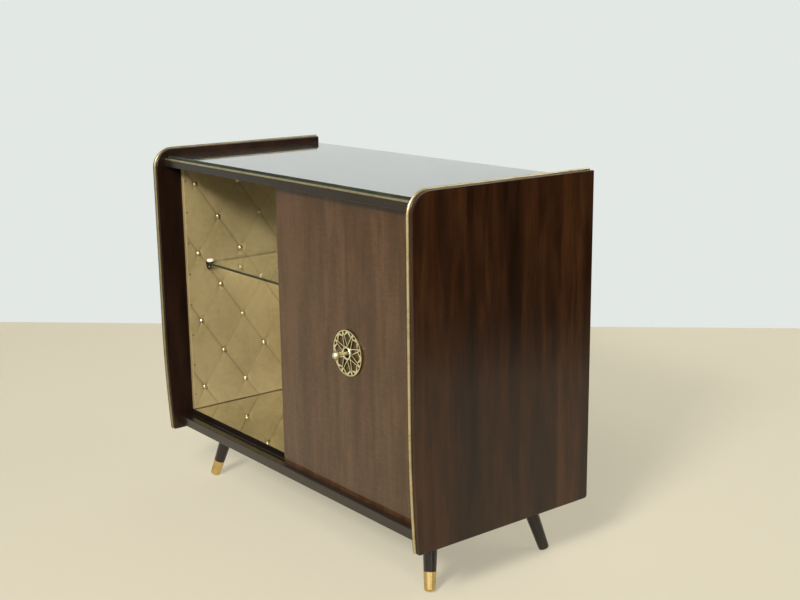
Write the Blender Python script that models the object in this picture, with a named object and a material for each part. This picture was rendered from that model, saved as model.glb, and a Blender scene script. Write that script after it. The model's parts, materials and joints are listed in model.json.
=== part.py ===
"""Bar cabinet with two sliding doors, a padded and mirrored inside and splayed legs.

Metres, +Z up. The front faces -Y. The origin is on the floor, under the middle of the cabinet's box.
Setbacks are measured backwards from the front line of the side panels.
"""
import math

import bmesh
import bpy
from mathutils import Matrix, Vector

# Clearances
SEAT_GAP = 0.0003
DOOR_FACE_GAP = 0.0005
DOOR_SIDE_GAP = 0.0005
LINING_DOOR_GAP = 0.0010

# Side panels
CABINET_WIDTH = 0.900
PANEL_DEPTH = 0.425
PANEL_HEIGHT = 0.634
PANEL_THICKNESS = 0.019
PANEL_CORNER_RADIUS = 0.040
PANEL_TOP_BACK_RADIUS = 0.002
PANEL_FOOT_BACK_RADIUS = 0.006
PANEL_FOOT_RECESS = 0.009
PANEL_CURVE_HEIGHT = 0.250
PANEL_EDGE_ROUND = 0.0012
FLOOR_CLEARANCE = 0.114

# Brass bead on the panels' front and top edges
BEAD_WIDTH = 0.005
BEAD_PROUD = 0.0035
BEAD_SHIFT_IN = 0.002
BEAD_FOOT_GAP = 0.0015
BEAD_BACK_GAP = 0.002

# Top board, the glass on it and the brass strip at its front
TOP_LIP = 0.014
TOP_SETBACK = 0.020
TOP_BOARD_THICKNESS = 0.018
TOP_GLASS_THICKNESS = 0.005
TOP_GLASS_INSET = 0.008
GLASS_EDGE_ROUND = 0.0006
STRIP_DEPTH = 0.004
STRIP_HEIGHT = 0.0030
STRIP_ROUND = 0.0013
BOARD_EDGE_ROUND = 0.0015

# Bottom board, back panel and door tracks
BOTTOM_RISE = 0.010
BOTTOM_SETBACK = 0.025
BOTTOM_BOARD_THICKNESS = 0.020
BACK_INSET = 0.006
BACK_THICKNESS = 0.004
TRACK_LIP = 0.014
TRACK_DIVIDER = 0.0035
LOWER_GROOVE_DEPTH = 0.004
UPPER_GROOVE_DEPTH = 0.009

# Doors
DOOR_THICKNESS = 0.006
DOOR_OVERLAP = 0.044
DOOR_TOP_ENTRY = 0.0045
DOOR_EDGE_ROUND = 0.0008

# Rosette, knob and nut of the front door
ROSETTE_RISE = 0.2825
ROSETTE_SHIFT = 0.0055
ROSETTE_RADIUS = 0.0436
ROSETTE_THICKNESS = 0.0030
ROSETTE_RIM = 0.0022
ROSETTE_PETALS = 8
ROSETTE_TURN = 19
ROSETTE_BAR = 0.0017
LEAF_ROOT_WIDTH = 0.0102
LEAF_TIP_WIDTH = 0.0025
LEAF_END_RADIUS = 0.0360
LEAF_POINT_LENGTH = 0.0025
BRANCH_RADIUS = 0.0328
BRANCH_WIDTH = 0.0017
BRANCH_END_RADIUS = 0.0388
BRANCH_END_ANGLE = 15.5
HUB_RADIUS = 0.0132
HUB_HOLE_RADIUS = 0.0090
HUB_HEIGHT = 0.003
KNOB_REACH = 0.0285
KNOB_BALL_RADIUS = 0.0071
KNOB_NECK_RADIUS = 0.0022
KNOB_BASE_RADIUS = 0.0040
KNOB_STUD_RADIUS = 0.0020
KNOB_STUD_END_GAP = 0.0005
NUT_RADIUS = 0.0040
NUT_THICKNESS = 0.0022
NUT_SUNK = 0.0030

# Finger pull of the rear door
PULL_SETIN = 0.060
PULL_RADIUS = 0.0140
PULL_DEPTH = 0.0055
PULL_WALL = 0.0006
PULL_FLANGE_WIDTH = 0.0030
PULL_FLANGE_THICKNESS = 0.0008

# Padded linings
LINING_BASE = 0.0035
LINING_CROWN = 0.0040
LINING_DRAWN_IN = 0.014
TUFT_FULLNESS = 0.6
STUD_PITCH_ACROSS = 0.0542
STUD_PITCH_UP = 0.0777
FIRST_STUD_IN = 0.031
FIRST_STUD_UP = 0.0475
CELLS_PER_PITCH = 3

# Cabinet floor and shelf
FLOOR_BASE_THICKNESS = 0.004
MIRROR_THICKNESS = 0.004
SHELF_RISE = 0.332
SHELF_THICKNESS = 0.005
SHELF_SETBACK = 0.106
SHELF_BACK_GAP = 0.004

# Shelf clips
CLIP_WIDTH = 0.012
CLIP_FOOT_WIDTH = 0.0085
CLIP_PLATE = 0.0025
CLIP_REACH = 0.013
CLIP_DROP = 0.0110
CLIP_TONGUE = 0.0015
CLIP_FRONT_SETIN = 0.005
CLIP_BACK_SETIN = 0.030
CLIP_PIN_RADIUS = 0.0025
CLIP_PIN_DROP = 0.006
CLIP_PIN_HOLE_GAP = 0.0005
CAP_RADIUS = 0.0075
CAP_HEIGHT = 0.0055
CAP_ROUND = 0.0016
CAP_WALL_GAP = 0.0008

# Legs, ferrules and the blocks that carry them
LEG_TOP_RADIUS = 0.0145
LEG_END_RADIUS = 0.0106
LEG_LEAN_SIDE = 0.0274
LEG_LEAN_DEPTH = 0.0244
LEG_FOOT_INSET_SIDE = 0.062
LEG_FOOT_SETBACK = 0.082
LEG_FOOT_INSET_BACK = 0.051
LEG_FOOT_ROUND = 0.004
LEG_FOOT_FLAT = 0.0008
DOWEL_RADIUS = 0.006
DOWEL_LENGTH = 0.012
DOWEL_HOLE_EXTRA = 0.001
FERRULE_LENGTH = 0.0355
FERRULE_WALL = 0.0010
FERRULE_SOLE = 0.0050
LEG_BLOCK_SIDE = 0.054
LEG_BLOCK_DROP = 0.020

# Fineness of the round shapes
TURN_STEPS = 24
ARC_STEPS = 6
CORNER_STEPS = 8
CURVE_STEPS = 8
RIM_STEPS = 4
WELD = 1e-6

# Places worked out from the sizes
PANEL_FRONT_Y = (BEAD_PROUD + SEAT_GAP - PANEL_DEPTH) / 2
PANEL_FOOT_Z = FLOOR_CLEARANCE
PANEL_TOP_Z = PANEL_FOOT_Z + PANEL_HEIGHT
INNER_HALF = CABINET_WIDTH / 2 - PANEL_THICKNESS
FIT_HALF = INNER_HALF - SEAT_GAP

BOTTOM_UNDER_Z = PANEL_FOOT_Z + BOTTOM_RISE
BOTTOM_TOP_Z = BOTTOM_UNDER_Z + BOTTOM_BOARD_THICKNESS
GLASS_TOP_Z = PANEL_TOP_Z - TOP_LIP
TOP_BOARD_TOP_Z = GLASS_TOP_Z - TOP_GLASS_THICKNESS - SEAT_GAP
TOP_BOARD_UNDER_Z = TOP_BOARD_TOP_Z - TOP_BOARD_THICKNESS

GROOVE_WIDTH = DOOR_THICKNESS + 2 * DOOR_FACE_GAP
FRONT_GROOVE_SETBACK = BOTTOM_SETBACK + TRACK_LIP
REAR_GROOVE_SETBACK = FRONT_GROOVE_SETBACK + GROOVE_WIDTH + TRACK_DIVIDER
LINING_SETBACK = REAR_GROOVE_SETBACK + GROOVE_WIDTH + LINING_DOOR_GAP
BACK_SETBACK = PANEL_DEPTH - BACK_INSET - BACK_THICKNESS
BOARD_BACK_SETBACK = BACK_SETBACK - SEAT_GAP

DOOR_WIDTH = INNER_HALF + DOOR_OVERLAP / 2 - DOOR_SIDE_GAP
DOOR_FOOT_Z = BOTTOM_TOP_Z - LOWER_GROOVE_DEPTH + SEAT_GAP
DOOR_HEAD_Z = TOP_BOARD_UNDER_Z + DOOR_TOP_ENTRY
DOOR_HEIGHT = DOOR_HEAD_Z - DOOR_FOOT_Z
DOOR_REST_X = INNER_HALF - DOOR_SIDE_GAP - DOOR_WIDTH / 2

FLOOR_BASE_Z = BOTTOM_TOP_Z + SEAT_GAP
MIRROR_Z = FLOOR_BASE_Z + FLOOR_BASE_THICKNESS + SEAT_GAP
MIRROR_TOP_Z = MIRROR_Z + MIRROR_THICKNESS
LINING_FOOT_Z = MIRROR_TOP_Z + SEAT_GAP
LINING_HEIGHT = TOP_BOARD_UNDER_Z - SEAT_GAP - LINING_FOOT_Z
LINING_FULL = LINING_BASE + LINING_CROWN
BACK_LINING_FACE = BOARD_BACK_SETBACK - LINING_FULL
SIDE_LINING_LENGTH = BACK_LINING_FACE - SEAT_GAP - LINING_SETBACK

CLIP_FACE_X = FIT_HALF - LINING_FULL - SEAT_GAP
SHELF_HALF = CLIP_FACE_X - CLIP_PLATE - SEAT_GAP
SHELF_UNDER_Z = MIRROR_TOP_Z + SHELF_RISE
SHELF_TOP_Z = SHELF_UNDER_Z + SHELF_THICKNESS
SHELF_BACK_SETBACK = BACK_LINING_FACE - SHELF_BACK_GAP
CLIP_PIN_Z = SHELF_UNDER_Z - CLIP_PIN_DROP
CLIP_SETBACKS = {
    "front": SHELF_SETBACK + CLIP_FRONT_SETIN,
    "back": SHELF_BACK_SETBACK - CLIP_BACK_SETIN,
}

LEG_TOP_Z = BOTTOM_UNDER_Z - SEAT_GAP - LEG_BLOCK_DROP
LEG_FOOT_SETBACKS = {
    "front": LEG_FOOT_SETBACK,
    "back": PANEL_DEPTH - LEG_FOOT_INSET_BACK,
}

SIDES = {"left": -1, "right": 1}
ENDS = {"front": -1, "back": 1}
FACING_FRONT = Matrix.Rotation(math.pi / 2, 4, "X")

# Colour, roughness and metallic value of each finish
VENEER = ((0.055, 0.020, 0.009), 0.16, 0.0)
TRACK_WOOD = ((0.045, 0.026, 0.015), 0.35, 0.0)
BLACK_LACQUER = ((0.012, 0.009, 0.008), 0.25, 0.0)
RAW_WOOD = ((0.34, 0.21, 0.11), 0.70, 0.0)
HARDBOARD = ((0.20, 0.12, 0.06), 0.80, 0.0)
BRASS = ((0.78, 0.62, 0.28), 0.22, 1.0)
GLASS = ((0.55, 0.68, 0.60), 0.03, 0.0)
MIRROR = ((0.85, 0.86, 0.85), 0.02, 1.0)
LEATHERETTE = ((0.32, 0.26, 0.13), 0.45, 0.0)
DARK_METAL = ((0.03, 0.03, 0.028), 0.40, 1.0)
CAP_RUBBER = ((0.72, 0.58, 0.52), 0.35, 0.0)


def remove_everything():
    for old in list(bpy.data.objects):
        bpy.data.objects.remove(old, do_unlink=True)


def y_at(setback):
    return PANEL_FRONT_Y + setback


def empty(name, location):
    """A bare axis that moving pieces hang from."""
    axis = bpy.data.objects.new(name, None)
    axis.location = location
    bpy.context.scene.collection.objects.link(axis)
    return axis


def coat(obj, finish):
    colour, roughness, metallic = finish
    material = bpy.data.materials.new(obj.name + "_finish")
    material.use_nodes = True
    shader = material.node_tree.nodes["Principled BSDF"]
    shader.inputs["Base Color"].default_value = (*colour, 1.0)
    shader.inputs["Roughness"].default_value = roughness
    shader.inputs["Metallic"].default_value = metallic
    material.diffuse_color = (*colour, 1.0)
    obj.data.materials.append(material)


def add(name, data, finish, place=Matrix.Identity(4), parent=None):
    """Puts a mesh or a curve in the scene under its name."""
    obj = bpy.data.objects.new(name, data)
    bpy.context.scene.collection.objects.link(obj)
    obj.matrix_world = place
    obj.parent = parent
    coat(obj, finish)
    return obj


def at(x, y, z):
    return Matrix.Translation((x, y, z))


def mesh_of(bm, name, smooth=False):
    bmesh.ops.recalc_face_normals(bm, faces=bm.faces)
    mesh = bpy.data.meshes.new(name)
    bm.to_mesh(mesh)
    bm.free()
    if smooth:
        mesh.shade_smooth()
        mesh.set_sharp_from_angle(angle=math.radians(35))
    return mesh


def box(size):
    bm = bmesh.new()
    bmesh.ops.create_cube(bm, size=1.0)
    bmesh.ops.scale(bm, vec=size, verts=bm.verts)
    return bm


def extruded(outline, length):
    """A solid with this outline in Y and Z, centred on X."""
    bm = bmesh.new()
    face = bm.faces.new([bm.verts.new((-length / 2, y, z)) for y, z in outline])
    grown = bmesh.ops.extrude_face_region(bm, geom=[face])
    moved = [v for v in grown["geom"] if isinstance(v, bmesh.types.BMVert)]
    bmesh.ops.translate(bm, verts=moved, vec=(length, 0, 0))
    return bm


def turned(profile, steps=TURN_STEPS, ring=False):
    """A solid of revolution about Z from (radius, height) points; a ring's profile closes on itself."""
    bm = bmesh.new()
    verts = [bm.verts.new((radius, 0, height)) for radius, height in profile]
    ends = verts[1:] + verts[:1] if ring else verts[1:]
    edges = [bm.edges.new(pair) for pair in zip(verts, ends)]
    bmesh.ops.spin(
        bm, geom=verts + edges, cent=(0, 0, 0), axis=(0, 0, 1), angle=2 * math.pi, steps=steps, use_merge=True
    )
    bmesh.ops.remove_doubles(bm, verts=bm.verts, dist=WELD)
    return bm


def cylinder(radius, low, high, steps=TURN_STEPS):
    return turned([(0, high), (radius, high), (radius, low), (0, low)], steps)


def arc(centre, radius, start, end, steps=ARC_STEPS):
    """Points of an arc between two angles in degrees."""
    angles = [math.radians(start + (end - start) * i / steps) for i in range(steps + 1)]
    return [(centre[0] + radius * math.cos(a), centre[1] + radius * math.sin(a)) for a in angles]


def boolean(obj, tool, operation):
    """Joins or cuts with another object, which then only guides the shape."""
    tool.hide_render = True
    tool.display_type = "WIRE"
    modifier = obj.modifiers.new(operation.lower(), "BOOLEAN")
    modifier.operation = operation
    modifier.solver = "EXACT"
    modifier.object = tool


def round_edges(obj, width):
    modifier = obj.modifiers.new("round", "BEVEL")
    modifier.width = width
    modifier.segments = 2
    modifier.limit_method = "ANGLE"
    modifier.angle_limit = math.radians(60)


def panel_front():
    """The panel's front and top edge from foot to back, as (point, outward direction) in Y and Z."""
    edge = []
    for i in range(CURVE_STEPS + 1):
        left = 1 - i / CURVE_STEPS
        point = Vector((PANEL_FOOT_RECESS * left**2, PANEL_CURVE_HEIGHT * (1 - left)))
        slope = 2 * PANEL_FOOT_RECESS * left / PANEL_CURVE_HEIGHT
        edge.append((point, Vector((-1, -slope)).normalized()))
    centre = Vector((PANEL_CORNER_RADIUS, PANEL_HEIGHT - PANEL_CORNER_RADIUS))
    for i in range(CORNER_STEPS + 1):
        angle = math.pi - math.pi / 2 * i / CORNER_STEPS
        out = Vector((math.cos(angle), math.sin(angle)))
        edge.append((centre + out * PANEL_CORNER_RADIUS, out))
    return edge


def add_side_panels():
    high = PANEL_TOP_BACK_RADIUS
    low = PANEL_FOOT_BACK_RADIUS
    outline = [tuple(point) for point, _ in panel_front()]
    outline += arc((PANEL_DEPTH - high, PANEL_HEIGHT - high), high, 90, 0, RIM_STEPS)
    outline += arc((PANEL_DEPTH - low, low), low, 0, -90, RIM_STEPS)
    for side, sign in SIDES.items():
        x = sign * (CABINET_WIDTH - PANEL_THICKNESS) / 2
        mesh = mesh_of(extruded(outline, PANEL_THICKNESS), side + "_side_panel")
        panel = add(side + "_side_panel", mesh, VENEER, at(x, PANEL_FRONT_Y, PANEL_FOOT_Z))
        round_edges(panel, PANEL_EDGE_ROUND)


def bead_path():
    """Where the bead's flat back runs: the panel's edge from just above the foot to short of the back."""
    path = panel_front()
    foot, out = path[0]
    along = Vector((-out.y, out.x)) * -1
    path[0] = (foot + along * BEAD_FOOT_GAP, out)
    top = Vector((0, 1))
    path.append((Vector((PANEL_DEPTH - BEAD_BACK_GAP, PANEL_HEIGHT)), top))
    return path


def add_edge_beads():
    bm = bmesh.new()
    rings = []
    for point, out in bead_path():
        ring = []
        for across, up in arc((0, 0), 1, 0, 180, CORNER_STEPS):
            place = point + out * (SEAT_GAP + BEAD_PROUD * up)
            ring.append(bm.verts.new((across * BEAD_WIDTH / 2, place.x, place.y)))
        rings.append(ring)
    for low, high in zip(rings, rings[1:]):
        for i in range(len(low)):
            j = (i + 1) % len(low)
            bm.faces.new((low[i], low[j], high[j], high[i]))
    bm.faces.new(rings[0])
    bm.faces.new(rings[-1])
    mesh = mesh_of(bm, "edge_bead", smooth=True)
    for side, sign in SIDES.items():
        x = sign * ((CABINET_WIDTH - PANEL_THICKNESS) / 2 - BEAD_SHIFT_IN)
        add(side + "_edge_bead", mesh.copy(), BRASS, at(x, PANEL_FRONT_Y, PANEL_FOOT_Z))


def grooves(board_setback, edge_z, floor_z):
    """The two door grooves in a board, from its back to its front, in the board's own Y."""
    points = []
    for setback in (REAR_GROOVE_SETBACK, FRONT_GROOVE_SETBACK):
        front = setback - board_setback
        back = front + GROOVE_WIDTH
        points += [(back, edge_z), (back, floor_z), (front, floor_z), (front, edge_z)]
    return points


def add_top():
    depth = BOARD_BACK_SETBACK - TOP_SETBACK
    seat_z = TOP_BOARD_THICKNESS - STRIP_HEIGHT - SEAT_GAP
    seat_y = STRIP_DEPTH + SEAT_GAP
    radius = BOARD_EDGE_ROUND
    outline = arc((radius, radius), radius, 270, 180)
    outline += [(0, seat_z), (seat_y, seat_z), (seat_y, TOP_BOARD_THICKNESS)]
    outline += [(depth, TOP_BOARD_THICKNESS), (depth, 0)]
    outline += grooves(TOP_SETBACK, 0, UPPER_GROOVE_DEPTH)
    board = mesh_of(extruded(outline, 2 * FIT_HALF), "top_board")
    add("top_board", board, VENEER, at(0, y_at(TOP_SETBACK), TOP_BOARD_UNDER_Z))

    radius = STRIP_ROUND
    outline = [(0, 0), (STRIP_DEPTH, 0), (STRIP_DEPTH, STRIP_HEIGHT)]
    outline += arc((radius, STRIP_HEIGHT - radius), radius, 90, 180)
    strip = mesh_of(extruded(outline, 2 * FIT_HALF), "top_brass_strip", smooth=True)
    strip_z = TOP_BOARD_UNDER_Z + seat_z + SEAT_GAP
    add("top_brass_strip", strip, BRASS, at(0, y_at(TOP_SETBACK), strip_z))

    front = TOP_SETBACK + TOP_GLASS_INSET
    back = BACK_SETBACK + BACK_THICKNESS
    plate = mesh_of(box((2 * FIT_HALF, back - front, TOP_GLASS_THICKNESS)), "top_glass")
    middle_z = GLASS_TOP_Z - TOP_GLASS_THICKNESS / 2
    glass = add("top_glass", plate, GLASS, at(0, y_at((front + back) / 2), middle_z))
    round_edges(glass, GLASS_EDGE_ROUND)


def add_bottom_and_back():
    depth = BOARD_BACK_SETBACK - BOTTOM_SETBACK
    thickness = BOTTOM_BOARD_THICKNESS
    radius = BOARD_EDGE_ROUND
    outline = arc((radius, thickness - radius), radius, 90, 180)
    outline += arc((radius, radius), radius, 180, 270)
    outline += [(depth, 0), (depth, thickness)]
    outline += grooves(BOTTOM_SETBACK, thickness, thickness - LOWER_GROOVE_DEPTH)
    board = mesh_of(extruded(outline, 2 * FIT_HALF), "bottom_board")
    add("bottom_board", board, TRACK_WOOD, at(0, y_at(BOTTOM_SETBACK), BOTTOM_UNDER_Z))

    height = TOP_BOARD_TOP_Z - BOTTOM_UNDER_Z
    back = mesh_of(box((2 * FIT_HALF, BACK_THICKNESS, height)), "back_panel")
    place = at(0, y_at(BACK_SETBACK + BACK_THICKNESS / 2), BOTTOM_UNDER_Z + height / 2)
    add("back_panel", back, HARDBOARD, place)


def add_cabinet_floor():
    depth = BOARD_BACK_SETBACK - LINING_SETBACK
    y = y_at(LINING_SETBACK + depth / 2)
    base = mesh_of(box((2 * FIT_HALF, depth, FLOOR_BASE_THICKNESS)), "floor_base")
    add("floor_base", base, TRACK_WOOD, at(0, y, FLOOR_BASE_Z + FLOOR_BASE_THICKNESS / 2))
    plate = mesh_of(box((2 * FIT_HALF, depth, MIRROR_THICKNESS)), "floor_mirror")
    mirror = add("floor_mirror", plate, MIRROR, at(0, y, MIRROR_Z + MIRROR_THICKNESS / 2))
    round_edges(mirror, GLASS_EDGE_ROUND)


def tuft(across, up, length, height, first_across):
    """How full the padding is at a point, from 0 in the seams to 1 in the middle of a diamond."""
    a = (across - first_across) / STUD_PITCH_ACROSS
    b = (up - FIRST_STUD_UP) / STUD_PITCH_UP
    swell = abs(math.sin(math.pi * (a + b) / 2) * math.sin(math.pi * (a - b) / 2))
    edge = min(across, length - across, up, height - up) / LINING_DRAWN_IN
    return swell**TUFT_FULLNESS * min(1, edge)


def pitch_lines(length, first, pitch):
    """Grid lines through the studs and the two borders, each with its count of cells from the first stud."""
    cell = pitch / CELLS_PER_PITCH
    low = math.ceil(-first / cell)
    lines = [(low - 1, 0.0)]
    count = low
    while first + count * cell < length:
        place = first + count * cell
        if place - lines[-1][1] > cell / 4:
            lines.append((count, place))
        count += 1
    if length - lines[-1][1] < cell / 4:
        lines.pop()
    lines.append((count, length))
    return lines


def lining_mesh(name, length, height, first_across):
    """A padded board: flat behind, drawn in along crossing seams in front, facing -Y."""
    bm = bmesh.new()
    columns = pitch_lines(length, first_across, STUD_PITCH_ACROSS)
    rows = pitch_lines(height, FIRST_STUD_UP, STUD_PITCH_UP)
    grid = []
    for _, across in columns:
        fullness = [tuft(across, up, length, height, first_across) for _, up in rows]
        depths = [-(LINING_BASE + LINING_CROWN * full) for full in fullness]
        grid.append([bm.verts.new((across, depth, up)) for depth, (_, up) in zip(depths, rows)])
    period = 2 * CELLS_PER_PITCH
    for i in range(len(columns) - 1):
        for j in range(len(rows) - 1):
            a, b = grid[i][j], grid[i + 1][j]
            c, d = grid[i + 1][j + 1], grid[i][j + 1]
            rising = (columns[i][0] - rows[j][0]) % period
            falling = (columns[i][0] + rows[j][0] + 1) % period
            if min(rising, period - rising) <= min(falling, period - falling):
                corners = ((a, b, c), (a, c, d))
            else:
                corners = ((a, b, d), (b, c, d))
            for triangle in corners:
                bm.faces.new(triangle)
    behind = {}
    for across in (0.0, length):
        for up in (0.0, height):
            behind[across, up] = bm.verts.new((across, 0, up))
    borders = (
        ([line[0] for line in grid], (0.0, 0.0), (length, 0.0)),
        (grid[-1], (length, 0.0), (length, height)),
        ([line[-1] for line in reversed(grid)], (length, height), (0.0, height)),
        (list(reversed(grid[0])), (0.0, height), (0.0, 0.0)),
    )
    for line, start, end in borders:
        for first, second in zip(line, line[1:]):
            bm.faces.new((behind[start], second, first))
        bm.faces.new((behind[start], behind[end], line[-1]))
    bm.faces.new([behind[key] for key in ((0.0, 0.0), (0.0, height), (length, height), (length, 0.0))])
    return mesh_of(bm, name, smooth=True)


def add_linings():
    back_length = 2 * FIT_HALF
    mesh = lining_mesh("back_lining", back_length, LINING_HEIGHT, back_length / 2)
    add("back_lining", mesh, LEATHERETTE, at(-FIT_HALF, y_at(BOARD_BACK_SETBACK), LINING_FOOT_Z))
    starts = {
        "left": (FIRST_STUD_IN, LINING_SETBACK),
        "right": (SIDE_LINING_LENGTH - FIRST_STUD_IN, LINING_SETBACK + SIDE_LINING_LENGTH),
    }
    for side, sign in SIDES.items():
        first, setback = starts[side]
        mesh = lining_mesh(side + "_lining", SIDE_LINING_LENGTH, LINING_HEIGHT, first)
        turn = Matrix.Rotation(-sign * math.pi / 2, 4, "Z")
        place = at(sign * FIT_HALF, y_at(setback), LINING_FOOT_Z) @ turn
        lining = add(side + "_lining", mesh, LEATHERETTE, place)
        for end, clip_setback in CLIP_SETBACKS.items():
            reach = LINING_FULL * 2
            drill = cylinder(CLIP_PIN_RADIUS + CLIP_PIN_HOLE_GAP, -reach, reach, TURN_STEPS // 2)
            across = Matrix.Rotation(math.pi / 2, 4, "Y")
            spot = at(sign * FIT_HALF, y_at(clip_setback), CLIP_PIN_Z) @ across
            name = "pin_drill_" + end + "_" + side
            boolean(lining, add(name, mesh_of(drill, name), DARK_METAL, spot), "DIFFERENCE")


def add_shelf():
    depth = SHELF_BACK_SETBACK - SHELF_SETBACK
    plate = mesh_of(box((2 * SHELF_HALF, depth, SHELF_THICKNESS)), "glass_shelf")
    place = at(0, y_at(SHELF_SETBACK + depth / 2), SHELF_UNDER_Z + SHELF_THICKNESS / 2)
    round_edges(add("glass_shelf", plate, GLASS, place), GLASS_EDGE_ROUND)


def clip_plate():
    """A clip's upright plate, tapered below the shelf, with the lining behind it at X = 0."""
    top = SHELF_THICKNESS + SEAT_GAP + CLIP_TONGUE
    half = CLIP_WIDTH / 2
    foot = CLIP_FOOT_WIDTH / 2
    outline = [(-half, top), (-half, 0), (-foot, -CLIP_DROP), (foot, -CLIP_DROP), (half, 0), (half, top)]
    bm = extruded(outline, CLIP_PLATE)
    bmesh.ops.translate(bm, verts=bm.verts, vec=(CLIP_PLATE / 2, 0, 0))
    return bm


def clip_tongues():
    """The clip's two tongues, each as its mesh and place: one under the shelf and one on it."""
    root = CLIP_PLATE / 2
    shape = (CLIP_REACH - root, CLIP_WIDTH, CLIP_TONGUE)
    middle = (CLIP_REACH + root) / 2
    away = SEAT_GAP + CLIP_TONGUE / 2
    return [(box(shape), at(middle, 0, z)) for z in (-away, SHELF_THICKNESS + away)]


def add_shelf_clips():
    pin_length = LINING_FULL + SEAT_GAP
    cap_z = SHELF_THICKNESS + 2 * SEAT_GAP + CLIP_TONGUE
    cap_low = CAP_HEIGHT - CAP_ROUND
    profile = [(0, CAP_HEIGHT)]
    profile += arc((CAP_RADIUS - CAP_ROUND, cap_low), CAP_ROUND, 90, 0, RIM_STEPS)
    profile += [(CAP_RADIUS, 0), (0, 0)]
    for end, setback in CLIP_SETBACKS.items():
        for side, sign in SIDES.items():
            name = "shelf_clip_" + end + "_" + side
            turn = Matrix.Rotation(math.pi if sign > 0 else 0, 4, "Z")
            place = at(sign * CLIP_FACE_X, y_at(setback), SHELF_UNDER_Z) @ turn
            clip = add(name, mesh_of(clip_plate(), name), DARK_METAL, place)
            pin = cylinder(CLIP_PIN_RADIUS, -pin_length, CLIP_PLATE / 2, TURN_STEPS // 2)
            pin_place = at(0, 0, -CLIP_PIN_DROP) @ Matrix.Rotation(math.pi / 2, 4, "Y")
            for i, (shape, spot) in enumerate([*clip_tongues(), (pin, pin_place)]):
                tool_name = name + "_arm_" + str(i)
                tool = add(tool_name, mesh_of(shape, tool_name), DARK_METAL, place @ spot)
                boolean(clip, tool, "UNION")
            cap = mesh_of(turned(profile), "shelf_cap", smooth=True)
            cap_place = place @ at(CAP_WALL_GAP + CAP_RADIUS, 0, cap_z)
            add("shelf_cap_" + end + "_" + side, cap, CAP_RUBBER, cap_place)


def door(name, slide):
    mesh = mesh_of(box((DOOR_WIDTH, DOOR_THICKNESS, DOOR_HEIGHT)), name)
    panel = add(name, mesh, VENEER, Matrix.Identity(4), slide)
    round_edges(panel, DOOR_EDGE_ROUND)
    return panel


def door_slide(name, groove_setback):
    """The moving axis of a door, in the middle of the door."""
    middle_y = y_at(groove_setback + GROOVE_WIDTH / 2)
    return empty(name, (DOOR_REST_X, middle_y, DOOR_FOOT_Z + DOOR_HEIGHT / 2))


def on_door_face(across, rise, out):
    """A place on a door's front face, with its Z axis pointing out of the door."""
    return at(across, -DOOR_THICKNESS / 2 - out, rise - DOOR_HEIGHT / 2) @ FACING_FRONT


def add_front_door():
    slide = door_slide("front_door_slide", FRONT_GROOVE_SETBACK)
    panel = door("front_door", slide)
    nut_floor = NUT_SUNK - DOOR_THICKNESS
    hole = KNOB_STUD_RADIUS + SEAT_GAP
    profile = [(0, DOOR_THICKNESS), (hole, DOOR_THICKNESS), (hole, nut_floor)]
    profile += [(NUT_RADIUS + SEAT_GAP, nut_floor), (NUT_RADIUS + SEAT_GAP, -2 * DOOR_THICKNESS)]
    profile += [(0, -2 * DOOR_THICKNESS)]
    face = on_door_face(ROSETTE_SHIFT, ROSETTE_RISE, 0)
    drill = add("knob_drill", mesh_of(turned(profile), "knob_drill"), BRASS, face, slide)
    boolean(panel, drill, "DIFFERENCE")

    ball = (0, KNOB_REACH)
    neck = math.degrees(math.acos(KNOB_NECK_RADIUS / KNOB_BALL_RADIUS))
    stud_end = KNOB_STUD_END_GAP - DOOR_THICKNESS
    profile = arc(ball, KNOB_BALL_RADIUS, 90, -neck, 2 * ARC_STEPS)
    profile[0] = (0, KNOB_REACH + KNOB_BALL_RADIUS)
    profile += [(KNOB_BASE_RADIUS, SEAT_GAP), (KNOB_STUD_RADIUS, SEAT_GAP)]
    profile += [(KNOB_STUD_RADIUS, stud_end), (0, stud_end)]
    add("door_knob", mesh_of(turned(profile), "door_knob", smooth=True), BRASS, face, slide)

    inner = (KNOB_STUD_RADIUS + SEAT_GAP) / math.cos(math.pi / 6)
    top = nut_floor - SEAT_GAP
    low = top - NUT_THICKNESS
    profile = [(inner, top), (NUT_RADIUS, top), (NUT_RADIUS, low), (inner, low)]
    add("knob_nut", mesh_of(turned(profile, 6, ring=True), "knob_nut"), BRASS, face, slide)
    add_rosette(slide)


def leaf_half(radius):
    """Half the distance between the middles of a leaf's two bars."""
    share = (radius - HUB_RADIUS) / (ROSETTE_RADIUS - ROSETTE_RIM - HUB_RADIUS)
    return (LEAF_ROOT_WIDTH + (LEAF_TIP_WIDTH - LEAF_ROOT_WIDTH) * share) / 2


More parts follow.
